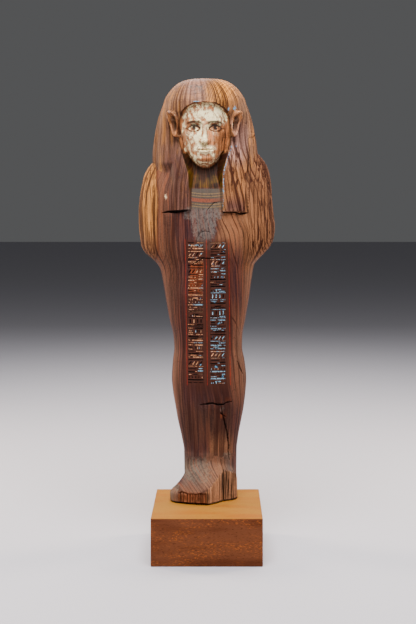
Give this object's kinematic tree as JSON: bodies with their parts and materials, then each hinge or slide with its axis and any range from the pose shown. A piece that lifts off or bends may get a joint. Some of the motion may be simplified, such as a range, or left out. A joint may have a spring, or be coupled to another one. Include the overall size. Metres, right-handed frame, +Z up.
{
  "type": "osirid figure",
  "caption": "Mummiform funerary figure carved from one piece of wood, worn and with a broken foot, standing on a plain wooden display block.",
  "frame": {"origin": "centre of the block's underside, where the part rests", "axes": "+Z up; the figure looks along -Y, and +X is on the right of someone who faces it"},
  "size_m": [0.1641, 0.1633, 0.5573],
  "materials": {
    "old_wood": "aged, dry, traces of paint",
    "block_wood": "smooth satin"
  },
  "bodies": {
    "root": {"carved_figure": "old_wood", "display_block": "block_wood"}
  },
  "joints": []
}
